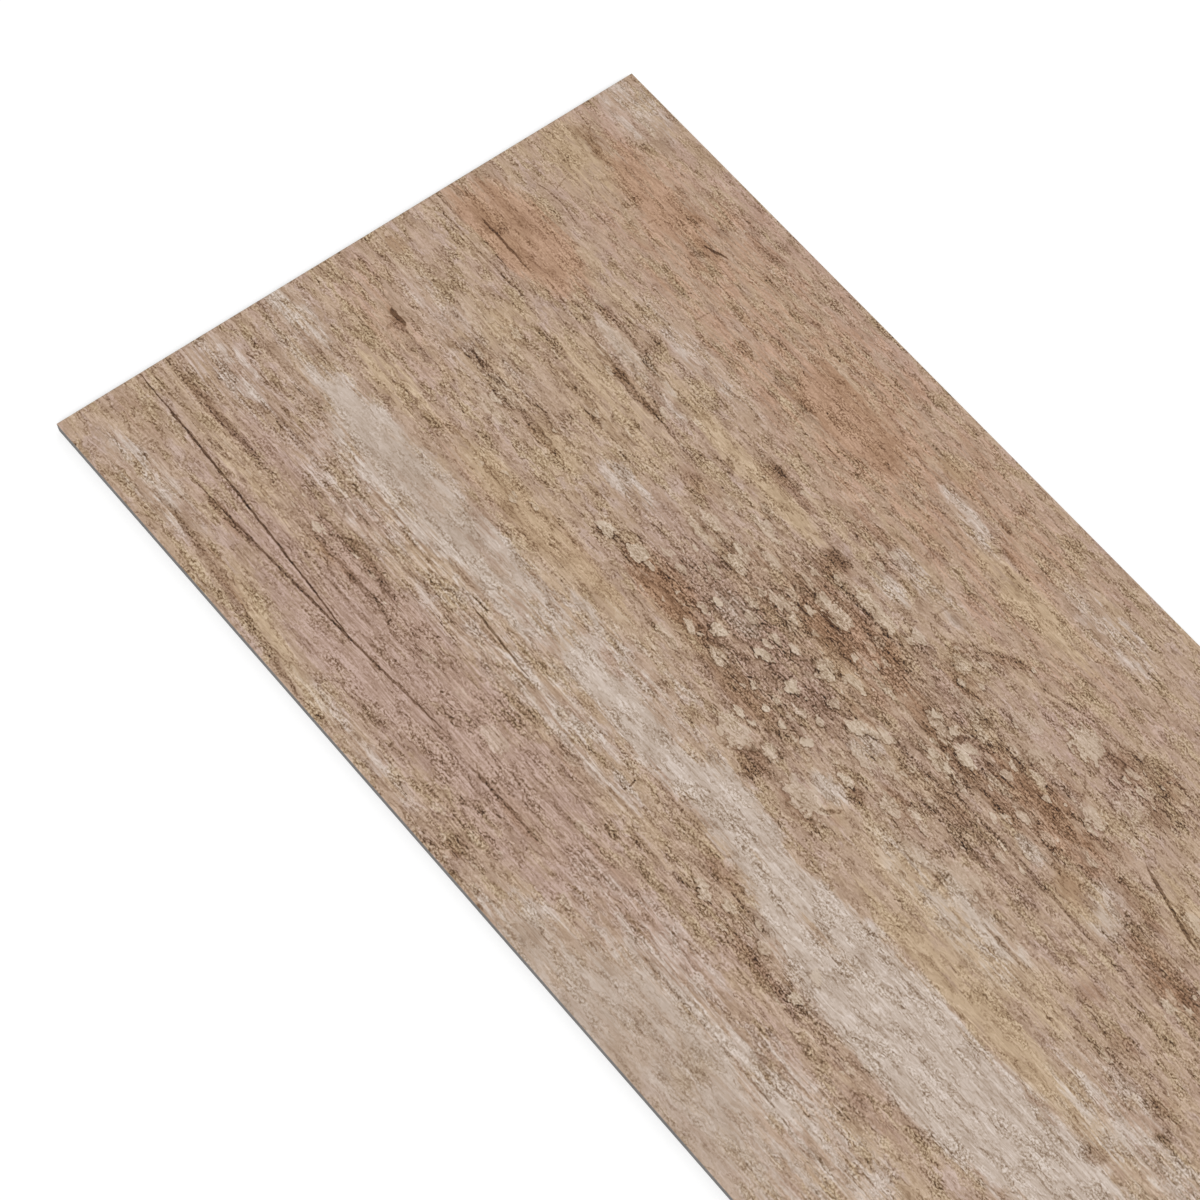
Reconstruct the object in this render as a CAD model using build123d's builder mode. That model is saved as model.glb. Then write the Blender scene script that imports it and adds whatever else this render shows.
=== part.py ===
# A glue-down vinyl floor plank: one piece of printed, embossed sheet, die-cut to size.
# It lies flat with its printed face up. X runs along it, Y across it and Z up.
# The origin is in the middle of the underside, which is the face that is glued down.
import os

from build123d import *

# Overall sizes
plank_length = 914.4
plank_width = 152.4
plank_thickness = 3.0

# Edges as the cutting die leaves them
rolled_edge_radius = 0.3
underside_edge_ease = 0.1

os.makedirs("parts", exist_ok=True)

# Plank
with BuildPart() as plank:
    # The die's outline, with square corners, cut through the full thickness of the sheet
    with BuildSketch(Plane.XY):
        Rectangle(plank_length, plank_width)
    extrude(amount=plank_thickness)

    # The die comes down on the printed face and rolls its four edges over
    printed_face = plank.faces().sort_by(Axis.Z)[-1]
    fillet(printed_face.edges(), radius=rolled_edge_radius)

    # The burr at the edges of the underside is taken off
    underside = plank.faces().sort_by(Axis.Z)[0]
    chamfer(underside.edges(), length=underside_edge_ease)

plank.part.label = "plank"
export_step(plank.part, "parts/plank.step")
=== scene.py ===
import math
import random

import bpy
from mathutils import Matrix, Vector


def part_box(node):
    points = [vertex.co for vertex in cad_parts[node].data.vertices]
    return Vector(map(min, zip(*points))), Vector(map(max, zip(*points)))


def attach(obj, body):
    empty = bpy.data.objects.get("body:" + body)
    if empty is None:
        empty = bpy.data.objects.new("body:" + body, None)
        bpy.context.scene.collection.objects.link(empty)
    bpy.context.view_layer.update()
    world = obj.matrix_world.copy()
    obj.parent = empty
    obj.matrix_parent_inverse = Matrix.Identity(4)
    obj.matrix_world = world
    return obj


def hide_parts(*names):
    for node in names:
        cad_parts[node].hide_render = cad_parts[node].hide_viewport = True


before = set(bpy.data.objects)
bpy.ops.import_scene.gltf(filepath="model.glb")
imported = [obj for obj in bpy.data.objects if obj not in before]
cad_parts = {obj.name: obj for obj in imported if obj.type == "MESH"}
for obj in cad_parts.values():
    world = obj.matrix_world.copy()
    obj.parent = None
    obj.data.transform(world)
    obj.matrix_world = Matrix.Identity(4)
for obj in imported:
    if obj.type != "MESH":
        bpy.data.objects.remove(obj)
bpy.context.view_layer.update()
body = "root"

# Camera
# It stands beside the plank's first end and looks steeply down on the print.
# It is turned about its own axis, so that the plank runs off the picture's lower right corner.
camera_place = Vector((-0.3392, -0.1148, 0.2241))
camera_aim = Vector((-0.3672, -0.0200, 0.0030))
camera_turn = math.radians(32.24)
film_width = 36.0
camera_lens = 37.5

camera_data = bpy.data.cameras.new("camera")
camera_data.sensor_width = film_width
camera_data.lens = camera_lens
camera_data.clip_start = 0.01
camera_data.clip_end = 20.0
camera = bpy.data.objects.new("camera", camera_data)
bpy.context.scene.collection.objects.link(camera)
camera.rotation_euler = (camera_aim - camera_place).to_track_quat("-Z", "Y").to_euler()
camera.rotation_euler.rotate_axis("Z", camera_turn)
camera.location = camera_place
bpy.context.scene.camera = camera
bpy.context.scene.view_settings.view_transform = "Standard"


# Light
# A plain white room lights the plank from all sides, and one broad soft lamp high over it
# gives the embossing and the cut edges a little shading.
room_strength = 0.62
lamp_strength = 1.25
lamp_softness = math.radians(20)
lamp_tilt = (math.radians(24), math.radians(30), 0)

room = bpy.data.worlds.new("white_room")
room.use_nodes = True
bpy.context.scene.world = room


def put(tree, kind, feeds=None, give=0, **settings):
    """Adds a node to a tree, feeds its inputs with values or other outputs, and gives one output."""
    made = tree.nodes.new(kind)
    for name, setting in settings.items():
        setattr(made, name, setting)
    for name, feed in (feeds or {}).items():
        if isinstance(feed, bpy.types.NodeSocket):
            tree.links.new(feed, made.inputs[name])
        else:
            made.inputs[name].default_value = feed
    return made.outputs[give]


def work(tree, operation, *feeds):
    """One step of arithmetic."""
    return put(tree, "ShaderNodeMath", dict(enumerate(feeds)), operation=operation)


def seen_directly(tree):
    """1 where the camera or a reflection looks straight at a background, and 0 for its light."""
    seen = put(tree, "ShaderNodeLightPath", give="Is Camera Ray")
    mirrored = put(tree, "ShaderNodeLightPath", give="Is Glossy Ray")
    return work(tree, "MAXIMUM", seen, mirrored)


tree = room.node_tree
strength = put(tree, "ShaderNodeMapRange", {0: seen_directly(tree), 3: room_strength, 4: 1.0})
shader = tree.nodes["Background"]
shader.inputs["Color"].default_value = (1, 1, 1, 1)
tree.links.new(strength, shader.inputs["Strength"])

lamp_data = bpy.data.lights.new("soft_lamp", "SUN")
lamp_data.energy = lamp_strength
lamp_data.angle = lamp_softness
lamp = bpy.data.objects.new("soft_lamp", lamp_data)
lamp.rotation_euler = lamp_tilt
bpy.context.scene.collection.objects.link(lamp)


# Floor
# A plain pale floor under the plank. Seen directly it is white, but it keeps the plank's faint shadow.
floor_size = 12.0
floor_white = 0.8
floor_glow = 0.32

bpy.ops.object.select_all(action="DESELECT")
bpy.ops.mesh.primitive_plane_add(size=floor_size)
floor = bpy.context.object
floor.name = "floor"
floor_paint = bpy.data.materials.new("floor_paint")
floor_paint.use_nodes = True
tree = floor_paint.node_tree
shader = tree.nodes["Principled BSDF"]
shader.inputs["Base Color"].default_value = (floor_white, floor_white, floor_white, 1)
shader.inputs["Roughness"].default_value = 0.9
shader.inputs["Specular IOR Level"].default_value = 0.0
shader.inputs["Emission Color"].default_value = (1, 1, 1, 1)
tree.links.new(work(tree, "MULTIPLY", seen_directly(tree), floor_glow), shader.inputs["Emission Strength"])
floor.data.materials.append(floor_paint)


# Plank
# One piece of filled vinyl sheet, printed and embossed on top and die-cut to size. The die rolls the
# printed face over a little at its four edges and leaves the cut sides square and plain.
low_corner, high_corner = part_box("plank")
plank_length, plank_width, plank_thickness = high_corner - low_corner
rolled_edge = 0.0003
roll_steps = 3
burr_taken_off = 0.0001
cells_along = 440
cells_across = 206

bpy.ops.object.select_all(action="DESELECT")
bpy.ops.mesh.primitive_grid_add(x_subdivisions=cells_along, y_subdivisions=cells_across, size=1.0)
plank = bpy.context.object
plank.name = "printed_plank"
flat_length = plank_length - 2 * rolled_edge
flat_width = plank_width - 2 * rolled_edge
bpy.ops.object.mode_set(mode="EDIT")
bpy.ops.transform.resize(value=(flat_length, flat_width, 1), center_override=(0, 0, 0))
bpy.ops.transform.translate(value=(0, 0, plank_thickness))
bpy.ops.mesh.select_mode(type="EDGE")
bpy.ops.mesh.select_all(action="DESELECT")
bpy.ops.mesh.select_non_manifold()


def draw_down(length, width, outwards, down):
    """Draws the sheet's rim, of this length and width, outwards and down, and gives its new size."""
    new_length, new_width = length + 2 * outwards, width + 2 * outwards
    bpy.ops.mesh.extrude_region_move()
    stretch = (new_length / length, new_width / width, 1)
    bpy.ops.transform.resize(value=stretch, center_override=(0, 0, 0))
    bpy.ops.transform.translate(value=(0, 0, -down))
    return new_length, new_width


rim = (flat_length, flat_width)
for step in range(roll_steps):
    before = math.pi / 2 * step / roll_steps
    after = math.pi / 2 * (step + 1) / roll_steps
    outwards = rolled_edge * (math.sin(after) - math.sin(before))
    rim = draw_down(*rim, outwards, rolled_edge * (math.cos(before) - math.cos(after)))
rim = draw_down(*rim, 0, plank_thickness - rolled_edge - burr_taken_off)
rim = draw_down(*rim, -burr_taken_off, burr_taken_off)
bpy.ops.mesh.edge_face_add()
bpy.ops.mesh.select_all(action="SELECT")
bpy.ops.mesh.normals_make_consistent(inside=False)
bpy.ops.object.mode_set(mode="OBJECT")


# Printed pattern
# A thin printed film is pressed onto the sheet. Its picture is of old painted boards: washed thin in
# some lanes, stained in others, flaked off in between, and cracked.

# Its larger features, in millimetres from the corner where the plank's start meets its -Y side. Each row
# gives a middle, a half length and half width, the turn in degrees and the strength.
washed_lanes = [
    (115, 44.5, 26, 5.5, 0, 0.8),
    (62, 44, 54, 8, 1, 0.3),
    (9, 30, 14, 8, 0, 0.2),
    (138, 48, 16, 6, -6, 0.8),
    (156, 46, 14, 5, 0, 0.5),
    (140, 42, 12, 3, 0, 0.45),
    (178, 48, 30, 6, 0, 0.8),
    (190, 38, 30, 7, 0, 0.9),
    (218, 46, 38, 10, 3, 0.8),
    (158, 39.5, 20, 3.5, -10, 0.6),
    (6, 50, 14, 4, 0, 0.4),
    (32, 45, 18, 6, 0, 0.3),
    (172, 10, 50, 12, 0, 0.3),
    (165, 138, 20, 8, 0, 0.3),
    (128, 132, 14, 4, -8, 0.35),
    (132, 113, 18, 4.5, 0, 0.3),
    (65, 111, 30, 5, 0, 0.25),
    (9, 145, 16, 9, 0, 0.3),
    (200, 90, 8, 7, 0, 0.4),
    (127, 106, 8, 3, 0, 0.4),
    (75, 78, 9, 4, 0, 0.3),
    (80, 3, 30, 3, 0, 0.2),
    (20, 6, 20, 5, 0, 0.3),
    (60, 99, 24, 4, 0, 0.3),
    (182, 87.5, 6, 2.4, 0, 0.6),
    (185, 70, 16, 4, 0, 0.3),
    (30, 74, 30, 10, 0, 0.2),
    (60, 34, 74, 9, 0, 0.2),
    (108, 34, 26, 7, 0, 0.2),
    (84, 78, 30, 10, 0, 0.15),
    (178, 66, 28, 7, 0, 0.3),
    (205, 42, 44, 12, 0, 0.3),
    (60, 46, 80, 9, 1, 0.2),
    (132, 3, 26, 9, 0, 0.35),
    (170, 40, 26, 9, 0, 0.3),
    (226, 62, 24, 10, 0, 0.35),
    (145, 77, 5, 4, 30, 0.6),
    (146, 65, 6, 3.4, 0, 0.6),
    (110, 76, 8, 4, 0, 0.4),
    (150, 18, 36, 10, 0, 0.25),
    (187, 20, 30, 8, 0, 0.25),
    (168, 36, 26, 7, 0, 0.3),
    (104, 54, 34, 6, 0, 0.22),
]
ochre_stains = [
    (202, 56.5, 52, 5, 1, 0.7),
    (72, 101, 16, 3.5, 0, 0.5),
    (101, 101.5, 14, 3.2, 0, 0.9),
    (172, 64, 24, 6, 0, 0.4),
    (30, 55, 14, 5, 0, 0.5),
    (60, 88, 26, 10, 0, 0.4),
    (150, 128, 26, 6, 0, 0.4),
    (195, 88, 9, 5, 0, 0.8),
    (118, 139, 6, 3.5, 0, 0.7),
    (33, 80, 20, 5, 0, 0.35),
    (75, 57, 40, 5, 0, 0.6),
    (12, 124, 16, 9, 0, 0.4),
    (30, 21, 30, 3.5, 0, 0.35),
    (60, 3.5, 26, 2.0, -7, 0.5),
    (7, 76, 10, 4, 0, 0.3),
    (212, 103, 12, 5, -20, 0.5),
    (186, 66, 30, 7, 0, 0.5),
    (60, 72, 10, 3, 0, 0.8),
    (62, 58.5, 16, 4, 0, 0.6),
    (33, 84, 6, 8, 0, 0.5),
    (85, 101, 14, 4, 0, 0.5),
    (152, 128, 14, 4, 0, 0.5),
    (130, 85, 12, 3, 0, 0.6),
    (8, 127, 9, 8, 0, 0.4),
]
rusty_stains = [
    (20, 101, 22, 10, 0, 0.9),
    (12, 95, 18, 4, 0, 0.6),
    (95, 128, 20, 9, 0, 0.55),
    (27, 132, 20, 7, 0, 0.5),
    (130, 90, 24, 9, 0, 0.5),
    (180, 96, 22, 7, 0, 0.5),
    (96, 68, 14, 6, 0, 0.6),
    (75, 58, 26, 4, 0, 0.35),
    (217, 89, 12, 4, 0, 0.5),
    (120, 139, 6, 3, 0, 0.4),
    (90, 131, 130, 30, 0, 0.3),
    (70, 56.5, 44, 6, 0, 0.3),
    (18, 66, 26, 14, 0, 0.2),
]
brown_stains = [
    (165, 89.5, 24, 2.2, 0, 0.7),
    (134, 95, 8, 3.6, 0, 0.45),
    (146, 91, 8, 3.6, 0, 0.45),
    (116, 98, 5, 5, 0, 0.5),
    (125, 87, 10, 4, 0, 0.6),
    (150, 103, 8, 3, 0, 0.55),
    (172, 96, 13, 4, 0, 0.4),
    (185, 97, 9, 4, 0, 0.5),
    (166, 81.5, 6, 3.6, 0, 0.4),
    (140, 81, 6, 2.4, 0, 0.5),
    (112, 82, 4, 3, 0, 0.4),
    (158, 73, 6, 3, 0, 0.6),
    (94, 68, 11, 4, 0, 0.6),
    (107, 66, 10, 4, 0, 0.5),
    (122, 65, 11, 3.6, 0, 0.8),
    (151, 68, 3, 2.4, 0, 0.45),
    (151, 62, 2.2, 3, 0, 0.4),
    (132, 57, 5, 4, 0, 0.45),
    (145, 56, 10, 2.4, 0, 0.35),
    (195, 102, 5, 2.4, 0, 0.5),
    (193, 88, 8, 4, 0, 0.6),
    (205, 97, 9, 3, 0, 0.5),
    (214, 90, 10, 4, 0, 0.6),
    (225, 90, 7, 4, 0, 0.5),
    (208, 75, 5, 4, 0, 0.4),
    (217, 73, 6, 3, 0, 0.45),
    (231, 70, 5, 4, 0, 0.4),
    (85, 90, 8, 4, 0, 0.4),
    (105, 87, 7, 4, 0, 0.35),
    (15, 97, 14, 3, 0, 0.5),
    (10, 102, 12, 3, 0, 0.35),
    (45, 132, 5, 3, 0, 0.6),
    (37, 136, 4, 2.4, 0, 0.4),
    (90, 133, 16, 4, 0, 0.4),
    (105, 129, 8, 6, 0, 0.4),
    (88, 122, 18, 2.2, 0, 0.4),
    (12, 131, 12, 4, 0, 0.3),
    (93, 105, 5, 2.6, 0, 0.6),
    (102, 105, 10, 1.6, 0, 0.3),
    (115, 101.5, 5, 2, 0, 0.5),
    (48, 102.5, 9, 1.8, 0, 0.4),
    (61, 94, 9, 1.8, -4, 0.5),
    (18.5, 65.5, 3.4, 1.6, 0, 0.7),
    (5, 77, 4, 2.6, 0, 0.4),
    (37, 74, 5, 4, 0, 0.4),
    (56, 71, 8, 1.6, 0, 0.4),
    (55, 27, 9, 1.8, 0, 0.5),
    (53, 22, 9, 2, 0, 0.35),
    (12, 24, 13, 1.4, 0, 0.4),
    (33, 12, 9, 1.6, 0, 0.4),
    (8, 12, 10, 4, 0, 0.3),
    (38, 5, 16, 2, -6, 0.4),
    (107, 4, 3.4, 2.4, 0, 0.5),
    (106, 30, 18, 1.8, 0, 0.4),
    (158, 30, 12, 2.2, -4, 0.38),
    (146, 37, 18, 2.2, -6, 0.35),
    (188, 28, 18, 2, 0, 0.3),
    (129, 23, 9, 2.4, 0, 0.35),
    (112, 16, 12, 2.4, 0, 0.35),
    (119, 114, 4, 4, 0, 0.35),
    (146, 107, 4, 3, 0, 0.5),
    (154, 114, 7, 1.6, 30, 0.4),
    (186, 117, 9, 4, 0, 0.4),
    (195, 121, 5, 4, 0, 0.5),
    (197, 114, 5, 4, 0, 0.4),
    (180, 105, 12, 2, 0, 0.35),
    (138, 132.5, 4, 1.6, 0, 0.5),
    (134, 137.5, 3.4, 1.4, 0, 0.5),
    (118, 138, 7, 3, 0, 0.4),
    (131, 125.5, 6, 2, 0, 0.35),
    (160, 147, 14, 2, 0, 0.25),
    (226, 54, 4, 2, 30, 0.4),
]
rosy_stains = [
    (80, 18, 72, 15, 0, 0.75),
    (90, 77, 28, 7, 0, 0.5),
    (122, 75, 24, 8, 0, 0.6),
    (152, 98, 8, 4, 0, 0.6),
    (20, 31, 26, 10, 0, 0.45),
    (180, 113, 22, 9, 0, 0.4),
    (60, 148, 60, 6, 0, 0.4),
    (165, 22, 30, 6, 0, 0.35),
    (8, 138, 10, 5, 0, 0.4),
    (140, 20, 20, 6, 0, 0.4),
]
worn_patches = [
    (124, 92, 22, 9, -3, 0.55),
    (150, 98, 26, 10, 0, 0.5),
    (178, 96, 26, 9, 0, 0.55),
    (121, 65, 24, 5.5, -3, 0.75),
    (90, 68, 16, 6, 0, 0.6),
    (172, 80.5, 24, 5, 0, 0.35),
    (114, 77, 36, 14, 0, 0.6),
    (217, 90, 20, 7, -10, 0.7),
    (193, 118, 24, 8, 8, 0.8),
    (118, 110, 14, 5, 0, 0.5),
    (10, 130, 12, 6, 0, 0.3),
    (45, 72, 22, 5, 0, 0.5),
    (50, 24, 62, 5, 0, 0.45),
    (150, 33, 30, 4.5, -4, 0.65),
    (60, 142, 26, 6, -6, 0.3),
    (222, 70, 18, 6, 0, 0.45),
    (106, 5, 14, 7, 0, 0.5),
    (133, 57, 6, 5, 0, 0.8),
    (50, 103, 14, 4, 0, 0.5),
    (60, 95, 26, 4, -4, 0.45),
    (95, 105, 18, 3.5, 0, 0.6),
    (50, 85, 36, 4, 0, 0.35),
    (152, 112, 12, 4, 30, 0.6),
    (180, 31, 30, 3.5, 0, 0.5),
    (105, 30, 24, 3, 0, 0.4),
    (134, 84, 60, 26, 0, 0.4),
    (190, 88, 50, 30, 0, 0.2),
    (46, 78, 40, 10, 0, 0.25),
    (66, 57, 30, 8, 0, 0.3),
]
grainy_lanes = [
    (60, 20, 90, 24, 0, 1.0),
    (150, 26, 60, 14, 0, 0.8),
    (60, 36, 80, 8, 0, 0.7),
    (200, 44, 60, 14, 0, 0.45),
    (106, 8, 34, 12, 0, 0.45),
    (60, 90, 60, 8, 0, 0.55),
    (130, 94, 30, 6, 0, 0.7),
    (200, 80, 50, 10, 0, 0.5),
    (10, 91, 22, 4, 0, 0.8),
    (120, 64, 40, 6, 0, 0.5),
    (215, 60, 40, 14, 0, 0.35),
    (20, 64, 40, 12, 0, 0.4),
    (160, 124, 40, 12, 3, 0.3),
]
# Calm places, in which the print is plain. From half strength up they also take an even beige.
even_places = [
    (158, 4, 46, 18, 0, 1.0),
    (120, 2, 16, 6, 0, 0.4),
    (22, 132, 50, 30, 0, 0.5),
    (16, 102, 24, 10, 0, 0.4),
    (195, 57, 44, 7, 0, 0.5),
    (52, 45, 46, 9, 1, 0.85),
    (70, 57, 40, 6, 0, 0.35),
    (30, 90, 60, 16, 0, 0.2),
    (34, 14, 60, 18, 0, 0.4),
]

# The sheet's grid in millimetres, and how the stretch that is drawn goes on along the plank
mm = 1000
print_cells_x = flat_length * mm / cells_along
print_cells_y = flat_width * mm / cells_across
print_start = rolled_edge * mm
drawn_length = 244
stretches = 4
shift_along = 9
shift_across = 3
change_of_strength = (0.6, 1.1)
change_of_length = (0.75, 1.3)
sheet = plank.data


def along_the_plank(rows, seed):
    """Goes on with what is drawn for the first stretch along the rest of the plank. Each further stretch
    mirrors it and changes it a little, so that it doesn't repeat plainly."""
    dice = random.Random(seed)
    width = plank_width * mm
    for stretch in range(stretches):
        for x, y, half_length, half_width, turn, strength, *bow in rows:
            if stretch % 2:
                x, turn = drawn_length - x, -turn
            if stretch > 1:
                y, turn = width - y, -turn
                bow = [-b for b in bow]
            if stretch:
                x += dice.uniform(-shift_along, shift_along)
                y += dice.uniform(-shift_across, shift_across)
                strength *= dice.uniform(*change_of_strength)
                half_length *= dice.uniform(*change_of_length)
            yield (x + stretch * drawn_length, y, half_length, half_width, turn, strength, *bow)


def crossings(x, y, reach_x, reach_y):
    """The lines of the sheet's grid, along and across, that run through a window."""
    first = max(0, math.ceil((x - reach_x - print_start) / print_cells_x))
    last = min(cells_along, math.floor((x + reach_x - print_start) / print_cells_x))
    low = max(0, math.ceil((y - reach_y - print_start) / print_cells_y))
    high = min(cells_across, math.floor((y + reach_y - print_start) / print_cells_y))
    return range(first, last + 1), range(low, high + 1)


def lay_areas(name, rows, seed):
    """Stores how strongly soft-edged areas lie on each point of the sheet, as an attribute."""
    shares = [[0.0] * (cells_across + 1) for column in range(cells_along + 1)]
    for x, y, half_length, half_width, turn, strength in along_the_plank(rows, seed):
        cosine, sine = math.cos(math.radians(turn)), math.sin(math.radians(turn))
        reach_x = abs(cosine) * half_length + abs(sine) * half_width
        reach_y = abs(sine) * half_length + abs(cosine) * half_width
        columns, lines = crossings(x, y, reach_x, reach_y)
        for column in columns:
            aside = column * print_cells_x + print_start - x
            for line in lines:
                above = line * print_cells_y + print_start - y
                along = (aside * cosine + above * sine) / half_length
                across = (above * cosine - aside * sine) / half_width
                inside = 1 - along * along - across * across
                if inside > 0:
                    shares[column][line] += strength * inside * inside * (3 - 2 * inside)
    attribute = sheet.attributes.new(name, "FLOAT", "POINT")
    values = []
    for vertex in sheet.vertices:
        column = round(((vertex.co.x - low_corner[0]) * mm - print_start) / print_cells_x)
        line = round(((vertex.co.y - low_corner[1]) * mm - print_start) / print_cells_y)
        column = min(max(column, 0), cells_along)
        line = min(max(line, 0), cells_across)
        values.append(min(shares[column][line], 1.0))
    attribute.data.foreach_set("value", values)


lay_areas("washed", washed_lanes, 1)
lay_areas("ochre", ochre_stains, 2)
lay_areas("rusty", rusty_stains, 3)
lay_areas("rosy", rosy_stains, 4)
lay_areas("worn", worn_patches, 5)
lay_areas("grainy", grainy_lanes, 6)
lay_areas("brown", brown_stains, 9)
lay_areas("even", even_places, 10)

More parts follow.
